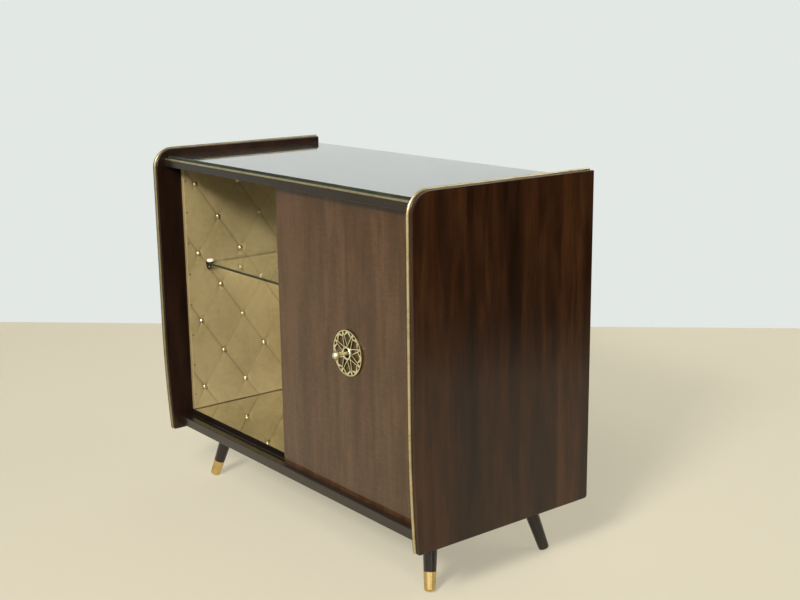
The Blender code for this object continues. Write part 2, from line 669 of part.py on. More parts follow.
def petal_holes():
    """The openings of one petal, pointing along +Y: the leaf, two at the rim and the gap beside it."""
    rim = ROSETTE_RADIUS - ROSETTE_RIM
    half_bar = ROSETTE_BAR / 2
    low = HUB_RADIUS + SEAT_GAP
    high = LEAF_END_RADIUS - LEAF_POINT_LENGTH
    root = leaf_half(low) - half_bar
    tip = leaf_half(high) - half_bar
    leaf = [(-root, low), (root, low), (tip, high), (0, LEAF_END_RADIUS), (-tip, high)]

    corner = BRANCH_RADIUS + BRANCH_WIDTH
    tip_angle = math.degrees(math.asin((leaf_half(rim) + half_bar) / rim))
    rim_holes = []
    for sign in (-1, 1):
        edge = arc((0, 0), rim, 90 - sign * tip_angle, 90 - sign * BRANCH_END_ANGLE, RIM_STEPS)
        rim_holes.append([(sign * (leaf_half(corner) + half_bar), corner)] + edge)

    middle = math.pi / ROSETTE_PETALS
    slope = (leaf_half(0) - leaf_half(1)) + math.tan(middle)
    start = (leaf_half(0) + half_bar) / slope / math.cos(middle)
    side = (leaf_half(BRANCH_RADIUS) + half_bar, BRANCH_RADIUS)
    turn = Matrix.Rotation(-2 * middle, 2)
    far_side = tuple(turn @ Vector((-side[0], side[1])))
    ray = Vector((math.sin(middle), math.cos(middle)))
    gap = [tuple(ray * start), side, tuple(ray * BRANCH_END_RADIUS), far_side]
    return [leaf, *rim_holes, gap]


def add_rosette(slide):
    outline = bpy.data.curves.new("rosette", "CURVE")
    outline.dimensions = "2D"
    outline.fill_mode = "BOTH"
    outline.extrude = ROSETTE_THICKNESS / 2
    loops = [arc((0, 0), ROSETTE_RADIUS, 0, 360, 2 * TURN_STEPS)[:-1]]
    loops.append(arc((0, 0), HUB_HOLE_RADIUS, 0, 360, TURN_STEPS)[:-1])
    for petal in range(ROSETTE_PETALS):
        angle = math.radians(ROSETTE_TURN - 90) + 2 * math.pi * petal / ROSETTE_PETALS
        turn = Matrix.Rotation(angle, 2)
        for hole in petal_holes():
            loops.append([tuple(turn @ Vector(point)) for point in hole])
    for loop in loops:
        spline = outline.splines.new("POLY")
        spline.points.add(len(loop) - 1)
        for point, (x, y) in zip(spline.points, loop):
            point.co = (x, y, 0, 1)
        spline.use_cyclic_u = True
    out = SEAT_GAP + ROSETTE_THICKNESS / 2
    add("rosette", outline, BRASS, on_door_face(ROSETTE_SHIFT, ROSETTE_RISE, out), slide)

    half = (HUB_RADIUS - HUB_HOLE_RADIUS) / 2
    crown = arc((HUB_HOLE_RADIUS + half, 0), half, 180, 0, ARC_STEPS)
    profile = [(radius, height * HUB_HEIGHT / half) for radius, height in crown]
    hub = mesh_of(turned(profile, 2 * TURN_STEPS, ring=True), "rosette_hub", smooth=True)
    out = ROSETTE_THICKNESS + 2 * SEAT_GAP
    add("rosette_hub", hub, BRASS, on_door_face(ROSETTE_SHIFT, ROSETTE_RISE, out), slide)


def add_rear_door():
    slide = door_slide("rear_door_slide", REAR_GROOVE_SETBACK)
    panel = door("rear_door", slide)
    face = on_door_face(PULL_SETIN - DOOR_WIDTH / 2, ROSETTE_RISE, 0)
    reach = 2 * DOOR_THICKNESS
    drill = cylinder(PULL_RADIUS + SEAT_GAP, -reach, reach, 2 * TURN_STEPS)
    tool = add("pull_drill", mesh_of(drill, "pull_drill"), BRASS, face, slide)
    boolean(panel, tool, "DIFFERENCE")

    inside = PULL_RADIUS - PULL_WALL
    flange = PULL_RADIUS + PULL_FLANGE_WIDTH
    sole = PULL_WALL - PULL_DEPTH
    profile = [(0, sole), (inside, sole), (inside, PULL_FLANGE_THICKNESS)]
    profile += [(flange, PULL_FLANGE_THICKNESS), (flange, SEAT_GAP), (PULL_RADIUS, SEAT_GAP)]
    profile += [(PULL_RADIUS, -PULL_DEPTH), (0, -PULL_DEPTH)]
    cup = mesh_of(turned(profile, 2 * TURN_STEPS), "finger_pull", smooth=True)
    add("finger_pull", cup, BRASS, face, slide)


def leg_place(side, end):
    """The frame of a leg: its origin in the middle of the leg's top, its Z axis up along the leg."""
    sign_x, sign_y = SIDES[side], ENDS[end]
    foot_x = sign_x * (CABINET_WIDTH / 2 - LEG_FOOT_INSET_SIDE)
    foot_y = y_at(LEG_FOOT_SETBACKS[end])
    lean = Vector((-sign_x * LEG_LEAN_SIDE, -sign_y * LEG_LEAN_DEPTH, LEG_TOP_Z))
    top = Vector((foot_x, foot_y, 0)) + lean
    return Matrix.Translation(top) @ lean.to_track_quat("Z", "Y").to_matrix().to_4x4()


def trimmed(bm, place, point, direction):
    """Cuts away what lies beyond a plane, given in world space, from a shape that will stand at place."""
    back = place.inverted()
    geometry = list(bm.verts) + list(bm.edges) + list(bm.faces)
    bmesh.ops.bisect_plane(
        bm, geom=geometry, plane_co=back @ point, plane_no=back.to_3x3() @ direction, clear_outer=True
    )
    rim = [edge for edge in bm.edges if edge.is_boundary]
    bmesh.ops.holes_fill(bm, edges=rim, sides=0)
    return bm


def leg_length(place):
    """From the leg's top to its end along its axis, so that its rounded end is cut flat by the floor."""
    upright = place.col[2].z
    lean = math.sqrt(1 - upright**2)
    reach = LEG_FOOT_ROUND + (LEG_END_RADIUS - LEG_FOOT_ROUND) * lean - LEG_FOOT_ROUND * upright
    return (LEG_TOP_Z - reach + LEG_FOOT_FLAT) / upright


def leg_radius(below, length):
    return LEG_TOP_RADIUS + (LEG_END_RADIUS - LEG_TOP_RADIUS) * below / length


def rounded_end(length):
    """The profile of a leg's end, from its side to its axis."""
    centre = (LEG_END_RADIUS - LEG_FOOT_ROUND, LEG_FOOT_ROUND - length)
    return arc(centre, LEG_FOOT_ROUND, 0, -90) + [(0, -length)]


def add_leg(side, end):
    name = end + "_" + side
    place = leg_place(side, end)
    length = leg_length(place)
    floor = (Vector((0, 0, 0)), Vector((0, 0, -1)))
    profile = [(0, DOWEL_LENGTH), (DOWEL_RADIUS, DOWEL_LENGTH), (DOWEL_RADIUS, 0), (LEG_TOP_RADIUS, 0)]
    if end == "front":
        bare = length - FERRULE_LENGTH
        outside = leg_radius(bare, length)
        thinner = FERRULE_WALL + SEAT_GAP
        profile += [(outside, -bare), (outside - thinner, -bare)]
        stub_end = FERRULE_SOLE + SEAT_GAP - length
        profile += [(LEG_END_RADIUS - thinner, stub_end), (0, stub_end)]
        leg = turned(profile)
        rim = -bare - SEAT_GAP
        inside = LEG_END_RADIUS - FERRULE_WALL
        sleeve = [(0, FERRULE_SOLE - length), (inside, FERRULE_SOLE - length)]
        sleeve += [(outside - FERRULE_WALL, rim), (outside, rim)] + rounded_end(length)
        ferrule = trimmed(turned(sleeve), place, *floor)
        add("ferrule_" + name, mesh_of(ferrule, "ferrule_" + name, smooth=True), BRASS, place)
    else:
        leg = trimmed(turned(profile + rounded_end(length)), place, *floor)
    add("leg_" + name, mesh_of(leg, "leg_" + name, smooth=True), BLACK_LACQUER, place)
    add_leg_block(name, place)


def add_leg_block(name, leg):
    """A block under the bottom board, cut square to the leg and bored for its dowel."""
    upright = leg.col[2].to_3d()
    height = 2 * LEG_BLOCK_DROP
    place = at(leg.translation.x, leg.translation.y, BOTTOM_UNDER_Z - SEAT_GAP - height / 2)
    block = box((LEG_BLOCK_SIDE, LEG_BLOCK_SIDE, height))
    seat = leg.translation + upright * SEAT_GAP
    block = trimmed(block, place, seat, -upright)
    obj = add("leg_block_" + name, mesh_of(block, "leg_block_" + name), RAW_WOOD, place)
    bore = cylinder(DOWEL_RADIUS + SEAT_GAP, -DOWEL_LENGTH, DOWEL_LENGTH + DOWEL_HOLE_EXTRA)
    tool = add("dowel_bore_" + name, mesh_of(bore, "dowel_bore_" + name), RAW_WOOD, leg)
    boolean(obj, tool, "DIFFERENCE")


def main():
    remove_everything()
    add_side_panels()
    add_edge_beads()
    add_top()
    add_bottom_and_back()
    add_cabinet_floor()
    add_linings()
    add_shelf()
    add_shelf_clips()
    add_front_door()
    add_rear_door()
    for side in SIDES:
        for end in ENDS:
            add_leg(side, end)


main()
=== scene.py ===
"""The looks of the bar cabinet: finishes, padded linings, small fasteners, stage, light and camera."""
import json
import math

import bmesh
import bpy
import numpy as np
from mathutils import Matrix, Quaternion, Vector, noise


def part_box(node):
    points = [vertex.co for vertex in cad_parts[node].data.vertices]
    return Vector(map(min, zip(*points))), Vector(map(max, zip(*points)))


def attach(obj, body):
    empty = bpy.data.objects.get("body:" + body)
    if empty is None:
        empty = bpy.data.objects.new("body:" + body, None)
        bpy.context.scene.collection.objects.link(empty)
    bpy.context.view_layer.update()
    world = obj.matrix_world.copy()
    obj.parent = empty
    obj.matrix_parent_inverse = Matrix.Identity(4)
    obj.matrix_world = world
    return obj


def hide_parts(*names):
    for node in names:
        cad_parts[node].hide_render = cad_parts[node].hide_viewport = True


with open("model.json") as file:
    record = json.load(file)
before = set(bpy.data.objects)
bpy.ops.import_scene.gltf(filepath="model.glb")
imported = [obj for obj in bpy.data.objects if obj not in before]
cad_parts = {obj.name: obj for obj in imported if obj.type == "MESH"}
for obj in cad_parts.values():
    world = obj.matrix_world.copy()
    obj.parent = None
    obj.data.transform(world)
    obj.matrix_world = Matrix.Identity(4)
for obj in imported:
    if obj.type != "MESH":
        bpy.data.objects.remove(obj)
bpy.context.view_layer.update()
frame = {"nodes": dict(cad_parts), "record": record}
NODES = frame["nodes"]
RECORD = frame["record"]

# Bodies that pieces ride on
CARCASS = "carcass"
FRONT_DOOR = "front_sliding_door"

# The two sides, with their direction along X, and the two ends of a side
SIDES = (("left", -1), ("right", 1))
ENDS = ("front", "back")

# Camera, solved from the cabinet's straight edges in the photograph
CAMERA_PLACE = (2.01245, -1.46169, 1.03517)
CAMERA_AZIMUTH = 51.93
CAMERA_ELEVATION = 13.06
CAMERA_ROLL = -0.71
FOCAL_LENGTH_PIXELS = 1249.1
IMAGE_WIDTH_PIXELS = 800
SENSOR_WIDTH_MM = 36

# Tufted linings: the studs' lattice is the CAD lining's
STUD_PITCH_ACROSS = 0.0542
STUD_PITCH_UP = 0.0777
FIRST_STUD_IN = 0.031
FIRST_STUD_UP = 0.0475
PAD_CROWN = 0.0040
PAD_CELLS_PER_PITCH = 22
PAD_EDGE_ROUND = 0.0022
PAD_EDGE_TURNS = (0, 25, 45, 65, 90)
PAD_SHARP_ANGLE = math.radians(60)
SEAM_WIDTH = 0.0012
RISING_SEAM_DEPTH = 0.06
FALLING_SEAM_DEPTH = 0.18
# The next constant sets how strongly painted shade darkens the pad's rolled edges
EDGE_SHADE = 1.5
SEAM_DEEPENS_WITHIN = 0.011
DENT_RADIUS = 0.0072
PUCKERS_PER_STUD = 8
PUCKER_HEIGHT = 0.00035
PUCKER_REACH = 0.011
SLACK_HEIGHT = 0.0008
SLACK_PER_METRE = 11
SLACK_SLICE_PER_METRE = 100
PILLOW_SHARE = 0.10

# Holes in the side linings for the pins of the shelf clips
PIN_END_WITHIN = 0.0005
PIN_CLEARANCE = 0.0003
HOLE_LENGTH = 0.04
HOLE_SEGMENTS = 24

# Dome studs, tacks, screws and nails
STUD_RADIUS = 0.0057
STUD_HEIGHT = 0.0052
STUD_CLEAR_OF_EDGE = 0.008
TACK_RADIUS = 0.0016
TACK_HEIGHT = 0.0007
TACK_INSET = 0.0060
TACK_SPACING = 0.068
SCREW_RADIUS = 0.0019
SCREW_HEIGHT = 0.0012
CLIP_TONGUE_REACH = 0.0105
CLIP_SCREW_RISE = 0.005
NAIL_RADIUS = 0.0022
NAIL_HEIGHT = 0.0006
NAIL_INSET = 0.009
NAIL_SPACING = 0.095
DOME_SEGMENTS = 20
DOME_RINGS = 6
DOME_SHARP_ANGLE = math.radians(50)
FASTENER_SUNK = 0.0004

# Softened edges of the pressed brass
BRASS_BEVEL = 0.0004
BEVEL_SEGMENTS = 2
ROUND_PROFILE = 0.5
FLANK_TURN = 0.55
SAME_POINT_WITHIN = 1e-6
FLAT_ANGLE = math.radians(1)
SHARP_EDGE_ANGLE = math.radians(38)

# Shading of the CAD nodes
SMOOTH_ANGLE = math.radians(42)
SAME_POINT_DIGITS = 6
LEVEL_FACE = 0.5
GLASS_PLATES = ("top_glass", "glass_shelf")

# Stage
FLOOR_HALF = 9.0
WALL_POINT = (-1.23, 1.03)
WALL_NORMAL_AZIMUTH = 47.2
WALL_HALF = 6.0
WALL_HEIGHT = 4.5
CARD_PLACE = (1.48, 0.86, 0.75)
CARD_SIZE = (2.0, 1.46)
CARD_FACING_AZIMUTH = 309.0
CARD_BLACK_FROM = 0.18
FLOOR_GLOW = 0.6
FULL_GLOW = 1.0
STAGE_ROUGHNESS = 0.9

# Lamps: aims, beams in degrees, and colours
LAMP_AIM = (0, 0, 0.4)
FILL_AIM = (0.4, 0.4, 0.2)
OPEN_BEAM = 180
NARROW_BEAM = 90
WARM_WHITE = (1.0, 0.98, 0.94)
NEUTRAL_WHITE = (1.0, 1.0, 1.0)

# Sockets of a Mix node that are picked by number, because their names repeat
MIX_FACTOR = 0
MIX_FIRST_COLOUR = 6
MIX_SECOND_COLOUR = 7
MIX_COLOUR_OUT = 2


def screen(red, green, blue):
    """A colour as a screen shows it, 0 to 255, as the linear colour that a shader takes (sRGB formula)."""
    def linear(value):
        share = value / 255
        return share / 12.92 if share <= 0.04045 else ((share + 0.055) / 1.055) ** 2.4
    return (linear(red), linear(green), linear(blue), 1.0)


# Colours of the stage, and the room around it
FLOOR_COLOUR = screen(210, 202, 179)
CARD_COLOUR = screen(190, 180, 158)
WALL_COLOUR = screen(227, 232, 229)
BLACK = (0.0, 0.0, 0.0, 1)
ROOM_COLOUR = (0.96, 0.98, 1.0, 1)
ROOM_LIGHT = 0.07
ROOM_IN_GLOSS = 0.4
ROOM_IN_SIGHT = 1.0


class Finish:
    """A material with a short call for each kind of node that the finishes use."""

    def __init__(self, name):
        self.material = bpy.data.materials.new(name)
        self.material.use_nodes = True
        self.tree = self.material.node_tree
        self.shader = self.tree.nodes["Principled BSDF"]
        self.place = self.node("TexCoord").outputs["Object"]

    def node(self, kind, inputs=None, **settings):
        """A new node with its settings, and with its inputs set or linked."""
        made = self.tree.nodes.new("ShaderNode" + kind)
        for key, value in settings.items():
            setattr(made, key, value)
        for key, value in (inputs or {}).items():
            self.put(made.inputs[key], value)
        return made

    def put(self, socket, value):
        """Links a socket to another one, or sets its own value."""
        if isinstance(value, bpy.types.NodeSocket):
            self.tree.links.new(value, socket)
        else:
            socket.default_value = value

    def surface(self, **values):
        """Sets the shader's sockets, named with underscores for spaces."""
        for key, value in values.items():
            self.put(self.shader.inputs[key.replace("_", " ")], value)

    def stretched(self, x=1.0, y=1.0, z=1.0):
        """Places scaled along each axis: a small scale draws a pattern out that way."""
        return self.node("Mapping", {"Vector": self.place, "Scale": (x, y, z)}).outputs[0]

    def noise(self, per_metre, place=None, detail=3.0, rough=0.55, bend=0.0):
        """A noise from 0 to 1 with about so many waves per metre."""
        inputs = {"Vector": place or self.place, "Scale": per_metre, "Detail": detail}
        inputs.update({"Roughness": rough, "Distortion": bend})
        return self.node("TexNoise", inputs).outputs[0]

    def cells(self, per_metre, place=None):
        """Distance to the middle of the nearest cell, with about so many cells per metre."""
        inputs = {"Vector": place or self.place, "Scale": per_metre}
        return self.node("TexVoronoi", inputs).outputs["Distance"]

    def ramp(self, factor, *stops):
        """A colour that runs through stops, each a position and a colour."""
        made = self.node("ValToRGB", {"Fac": factor})
        marks = made.color_ramp.elements
        while len(marks) < len(stops):
            marks.new(0.5)
        for mark, (position, colour) in zip(marks, stops):
            mark.position = position
            mark.color = colour
        return made.outputs[0]

    def spread(self, value, low, high, to_low=0.0, to_high=1.0):
        """A value between low and high, mapped to another range and held within it."""
        inputs = {"Value": value, "From Min": low, "From Max": high, "To Min": to_low, "To Max": to_high}
        return self.node("MapRange", inputs).outputs[0]

    def math(self, operation, first, second):
        """One operation on two values."""
        made = self.node("Math", operation=operation)
        self.put(made.inputs[0], first)
        self.put(made.inputs[1], second)
        return made.outputs[0]

    def blended(self, *weighted):
        """The sum of values times their weights."""
        total = None
        for value, weight in weighted:
            part = self.math("MULTIPLY", value, weight)
            total = part if total is None else self.math("ADD", total, part)
        return total

    def mix(self, factor, first, second):
        """A colour between two, at a share."""
        made = self.node("Mix", data_type="RGBA")
        self.put(made.inputs[MIX_FACTOR], factor)
        self.put(made.inputs[MIX_FIRST_COLOUR], first)
        self.put(made.inputs[MIX_SECOND_COLOUR], second)
        return made.outputs[MIX_COLOUR_OUT]

    def bump(self, height, strength, depth):
        """A normal that follows a height, of a depth in metres."""
        return self.node("Bump", {"Height": height, "Strength": strength, "Distance": depth}).outputs[0]


def wood(
    name, grain, tones, roughness,
    coat=0.0, coat_roughness=0.1, ribbon=20, pores=0.5, spread=0.14, flecks=0.08,
):
    """Veneer or solid wood: broad ribbons, flame and fibres along the grain axis, short flecks across it
    and open pores. ribbon counts the ribbons per metre, and a smaller spread sets them off more strongly."""
    finish = Finish(name)

    def lengthwise(share):
        return finish.stretched(**{grain: share})

    broad = finish.noise(ribbon, lengthwise(0.04), detail=2, rough=0.5, bend=0.5)
    flame = finish.noise(ribbon * 3, lengthwise(0.14), detail=4, rough=0.6, bend=0.4)
    fibre = finish.noise(ribbon * 26, lengthwise(0.03), detail=3, rough=0.7)
    crosswise = finish.stretched(**{"x" if grain == "z" else "z": 0.35})
    fleck = finish.noise(260, crosswise, detail=3, rough=0.6)
    pore = finish.spread(finish.noise(1300, lengthwise(0.07), detail=2), 0.58, 0.70)
    # The weights of the figure add up to 1
    figure = finish.blended((broad, 0.52 - flecks), (flame, 0.34), (fibre, 0.14), (fleck, flecks))
    dark, middle, light = tones
    colour = finish.ramp(figure, (0.5 - spread, dark), (0.5, middle), (0.5 + spread, light))
    colour = finish.mix(finish.math("MULTIPLY", pore, pores), colour, dark)
    relief = finish.blended((fibre, 0.5), (pore, -0.6))
    finish.surface(
        Base_Color=colour,
        Roughness=finish.spread(flame, 0.3, 0.7, roughness * 0.85, roughness * 1.15),
        Normal=finish.bump(relief, 0.22, 0.0004),
        Specular_IOR_Level=0.15,
        Coat_Weight=coat,
        Coat_Roughness=coat_roughness,
    )
    if coat:
        wavy = finish.noise(9, detail=2)
        finish.surface(Coat_Normal=finish.bump(wavy, 0.05, 0.004))
    return finish.material


def brass_finish(name, tones, roughest=0.48, smoothest=0.34):
    """Polished brass with a faint patina and fine rubbing marks."""
    finish = Finish(name)
    patina = finish.noise(38, detail=5, rough=0.6)
    specks = finish.noise(260, detail=2)
    rubbed = finish.noise(1500, finish.stretched(1, 1, 0.15), detail=2)
    worn = finish.blended((patina, 0.75), (specks, 0.25))
    tarnished, middle, bright = tones
    colour = finish.ramp(worn, (0.34, tarnished), (0.48, middle), (0.66, bright))
    finish.surface(
        Base_Color=colour,
        Metallic=1.0,
        Roughness=finish.spread(worn, 0.35, 0.65, roughest, smoothest),
        Normal=finish.bump(rubbed, 0.05, 0.0002),
    )
    return finish.material


def dulled(tones, share):
    """Darker tones of the same metal."""
    return [tuple(value * share for value in tone[:3]) + (1,) for tone in tones]


def leatherette_finish():
    """Gold leatherette: pebbled grain, cloudy gold, and painted shade in the seams and at the rolled edges,
    read from the pad's attribute.
    """
    finish = Finish("gold_leatherette")
    pebbles = finish.cells(820)
    fine = finish.noise(2100, detail=2)
    cloud = finish.noise(7, detail=4, rough=0.6)
    mottle = finish.noise(95, detail=3)
    tone = finish.blended((cloud, 0.7), (mottle, 0.3))
    colour = finish.ramp(
        tone, (0.36, screen(144, 127, 87)), (0.50, screen(156, 139, 97)), (0.66, screen(166, 149, 105))
    )
    seam_shade = finish.node("Attribute", attribute_name="seam_shade").outputs["Fac"]
    # Painted shade: the colour darkens in the seams and at the rolled edges
    colour = finish.mix(finish.math("MULTIPLY", seam_shade, 0.38), colour, screen(74, 58, 32))
    finish.surface(
        Base_Color=colour,
        Metallic=0.12,
        Roughness=finish.spread(mottle, 0.3, 0.7, 0.38, 0.50),
        Normal=finish.bump(finish.blended((pebbles, 0.7), (fine, 0.3)), 0.20, 0.0003),
    )
    return finish.material


def glass_finish():
    """Clear plate glass with faint wipe marks."""
    finish = Finish("plate_glass")
    wiped = finish.noise(16, finish.stretched(0.4, 1, 1), detail=6, rough=0.65)
    finish.surface(
        Base_Color=finish.mix(wiped, (0.95, 0.98, 0.965, 1), (0.97, 0.99, 0.98, 1)),
        Roughness=finish.spread(wiped, 0.45, 0.75, 0.0, 0.04),
        Transmission_Weight=1.0,
        IOR=1.5,
    )
    return finish.material


def glass_edge_finish():
    """The ground edge of a glass plate, which looks dark green because light runs along the plate."""
    finish = Finish("glass_edge")
    ground = finish.noise(180, finish.stretched(0.2, 0.2, 1), detail=3)
    finish.surface(
        Base_Color=finish.ramp(ground, (0.35, screen(24, 31, 19)), (0.65, screen(48, 54, 37))),
        Roughness=finish.spread(ground, 0.3, 0.7, 0.25, 0.40),
        Specular_IOR_Level=0.25,
    )
    return finish.material


def mirror_finish():
    """Old silvered glass, a little warm, with a breath of haze."""
    finish = Finish("silvered_mirror")
    haze = finish.noise(26, detail=5, rough=0.65)
    finish.surface(
        Base_Color=finish.ramp(haze, (0.35, (0.80, 0.80, 0.75, 1)), (0.65, (0.90, 0.90, 0.86, 1))),
        Metallic=1.0,
        Roughness=finish.spread(haze, 0.45, 0.75, 0.01, 0.06),
    )
    return finish.material


def lacquer_finish():
    """Dark lacquer on turned legs, with the wood's grain just showing."""
    finish = Finish("dark_lacquer")
    lengthwise = finish.stretched(1, 1, 0.08)
    grain = finish.noise(420, lengthwise, detail=4)
    rubbed = finish.noise(45, detail=4)
    finish.surface(
        Base_Color=finish.ramp(grain, (0.35, screen(19, 14, 11)), (0.65, screen(38, 29, 23))),
        Roughness=finish.spread(rubbed, 0.3, 0.7, 0.26, 0.42),
        Normal=finish.bump(grain, 0.12, 0.0003),
        Specular_IOR_Level=0.3,
        Coat_Weight=0.5,
        Coat_Roughness=0.16,
    )
    return finish.material


def hardboard_finish():
    """Pressed fibre board: short matted fibres and darker flecks."""
    finish = Finish("pressed_hardboard")
    matted = finish.noise(620, detail=4, rough=0.7, bend=1.5)
    cloud = finish.noise(11, detail=3)
    fleck = finish.spread(finish.noise(240, detail=2, bend=2.0), 0.64, 0.72)
    tone = finish.blended((matted, 0.75), (cloud, 0.25))
    colour = finish.ramp(
        tone, (0.36, screen(96, 68, 43)), (0.5, screen(124, 91, 59)), (0.64, screen(148, 112, 76))
    )
    finish.surface(
        Base_Color=finish.mix(fleck, colour, screen(62, 42, 26)),
        Roughness=finish.spread(matted, 0.3, 0.7, 0.70, 0.88),
        Normal=finish.bump(matted, 0.35, 0.0005),
    )
    return finish.material


def dark_metal_finish():
    """Blackened steel, rubbed brighter in places."""
    finish = Finish("blackened_steel")
    rubbed = finish.noise(210, detail=4, rough=0.65)
    black = (0.018, 0.018, 0.016, 1)
    bright = (0.11, 0.105, 0.095, 1)
    finish.surface(
        Base_Color=finish.ramp(rubbed, (0.40, black), (0.72, bright)),
        Metallic=0.85,
        Roughness=finish.spread(rubbed, 0.3, 0.7, 0.48, 0.30),
        Normal=finish.bump(rubbed, 0.10, 0.0002),
    )
    return finish.material


def cap_finish():
    """Pale pinkish rubber, a little yellowed."""
    finish = Finish("pale_rubber")
    yellowed = finish.noise(130, detail=3)
    finish.surface(
        Base_Color=finish.ramp(yellowed, (0.35, screen(222, 194, 182)), (0.65, screen(240, 222, 214))),
        Roughness=finish.spread(yellowed, 0.3, 0.7, 0.34, 0.48),
        Subsurface_Weight=0.15,
        Subsurface_Radius=(0.004, 0.002, 0.0015),
        Normal=finish.bump(yellowed, 0.08, 0.0003),
    )
    return finish.material


def node_finishes():
    """The finishes by the record's slots, with one more for the studs, and the finish of each CAD node:
    its slot's, or its own where its grain, tone or gloss differs."""
    mahogany = (screen(24, 11, 3), screen(42, 21, 7), screen(61, 35, 12))
    # shaded_leaf is the mahogany darkened: painted shade for the left panel, whose inner face stands in
    # shade
    shaded_leaf = (screen(17, 9, 5), screen(31, 17, 9), screen(46, 27, 16))
    door_tones = (screen(49, 26, 3), screen(59, 36, 13), screen(70, 47, 27))
    rail_tones = (screen(14, 9, 6), screen(25, 17, 11), screen(38, 27, 18))
    edge_tones = (screen(17, 13, 10), screen(26, 21, 16), screen(36, 29, 23))
    raw_tones = (screen(134, 98, 62), screen(166, 128, 86), screen(190, 154, 110))
    pale_brass = ((0.58, 0.45, 0.21, 1), (0.80, 0.66, 0.36, 1), (0.90, 0.79, 0.51, 1))
    satin_brass = ((0.62, 0.56, 0.30, 1), (0.86, 0.80, 0.50, 1), (0.95, 0.91, 0.66, 1))
    gold_brass = ((0.43, 0.29, 0.10, 1), (0.63, 0.45, 0.17, 1), (0.73, 0.56, 0.25, 1))
    veneer = wood(
        "mahogany_veneer", "z", mahogany, 0.34, coat=0.45, coat_roughness=0.13, ribbon=16, spread=0.11
    )
    shaded_veneer = wood(
        "shaded_veneer", "z", shaded_leaf, 0.34, coat=0.55, coat_roughness=0.13, ribbon=16, spread=0.12
    )
    door = wood(
        "door_veneer", "z", door_tones, 0.40,
        coat=0.9, coat_roughness=0.1, ribbon=18, spread=0.07, flecks=0.16,
    )
    top = wood("top_veneer", "x", edge_tones, 0.40, coat=0.55, coat_roughness=0.24, pores=0.2)
    rail = wood("stained_rail", "x", rail_tones, 0.42, coat=0.85, coat_roughness=0.18, ribbon=30)
    golden = brass_finish("golden_brass", gold_brass)
    satin = brass_finish("satin_brass", satin_brass, 0.46, 0.34)
    by_slot = {
        "veneer": veneer,
        "track_wood": rail,
        "plain_wood": wood("raw_beech", "x", raw_tones, 0.70, ribbon=40),
        "hardboard": hardboard_finish(),
        "lacquer": lacquer_finish(),
        "brass": brass_finish("polished_brass", pale_brass),
        "studs": brass_finish("stud_brass", dulled(pale_brass, 0.75)),
        "glass": glass_finish(),
        "mirror": mirror_finish(),
        "leatherette": leatherette_finish(),
        "dark_metal": dark_metal_finish(),
        "cap": cap_finish(),
    }
    by_node = {part["node"]: by_slot[part["material_slot"]] for part in RECORD["subparts"]}
    own = {
        # The left panel takes the darker copy of the veneer, which paints its shade
        "left_side_panel": shaded_veneer,
        "front_door": door,
        "rear_door": door,
        "top_board": top,
        "ferrule_front_left": golden,
        "ferrule_front_right": golden,
        "rosette": satin,
        "rosette_hub": satin,
        "door_knob": brass_finish("knob_brass", dulled(satin_brass, 0.78), 0.55, 0.44),
        "knob_nut": brass_finish("dark_brass", dulled(pale_brass, 0.22)),
        # The left bead's brass is darkened: painted shade, because its rounded side faces away from the
        # light
        "left_edge_bead": brass_finish("shaded_bead_brass", dulled(pale_brass, 0.42)),
        "right_edge_bead": brass_finish("worn_brass", dulled(pale_brass, 0.72)),
        "top_brass_strip": brass_finish("dull_brass", dulled(pale_brass, 0.60)),
    }
    by_node.update(own)
    return by_slot, by_node


def smooth_normals(node):
    """Shades a CAD node's round faces smoothly. Its points stay where they are."""
    mesh = node.data
    corners = [tuple(round(value, SAME_POINT_DIGITS) for value in vertex.co) for vertex in mesh.vertices]
    meeting = {}
    for face in mesh.polygons:
        for index in face.vertices:
            meeting.setdefault(corners[index], []).append(face)
    least = math.cos(SMOOTH_ANGLE)
    normals = []
    for face in mesh.polygons:
        for index in face.vertices:
            near = [other for other in meeting[corners[index]] if other.normal.dot(face.normal) > least]
            total = sum((other.normal * other.area for other in near), Vector())
            normals.append(total.normalized())
    mesh.polygons.foreach_set("use_smooth", [True] * len(mesh.polygons))
    mesh.normals_split_custom_set(normals)


def dress_nodes(by_node, edge):
    """Gives each CAD node its finish, and glass plates and the mirror their own edge.
    Clear glass lets the lamps through, so the two plates throw no shadow."""
    for name, node in NODES.items():
        node.data.materials.clear()
        node.data.materials.append(by_node[name])
        smooth_normals(node)
    edges = {name: edge for name in GLASS_PLATES}
    edges["floor_mirror"] = by_node["bottom_board"]
    for name, finish in edges.items():
        mesh = NODES[name].data
        mesh.materials.append(finish)
        for face in mesh.polygons:
            face.material_index = 0 if abs(face.normal.z) > LEVEL_FACE else 1
    for name in GLASS_PLATES:
        NODES[name].visible_shadow = False


def piece(name, mesh, finish, body):
    """A new piece in the cabinet's frame, which rides on a body."""
    made = bpy.data.objects.new(name, mesh)
    bpy.context.scene.collection.objects.link(made)
    mesh.materials.clear()
    mesh.materials.append(finish)
    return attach(made, body)


def grid_lines(length, first, pitch):
    """Places along a side of a pad: even cells through the studs, and closer lines at its rolled edges."""
    cell = pitch / PAD_CELLS_PER_PITCH
    edge = [PAD_EDGE_ROUND * (1 - math.cos(math.radians(angle))) for angle in PAD_EDGE_TURNS]
    low = math.ceil((edge[-1] + cell / 2 - first) / cell)
    high = math.floor((length - edge[-1] - cell / 2 - first) / cell)
    inner = [first + count * cell for count in range(low, high + 1)]
    return np.array(edge + inner + [length - place for place in reversed(edge)])


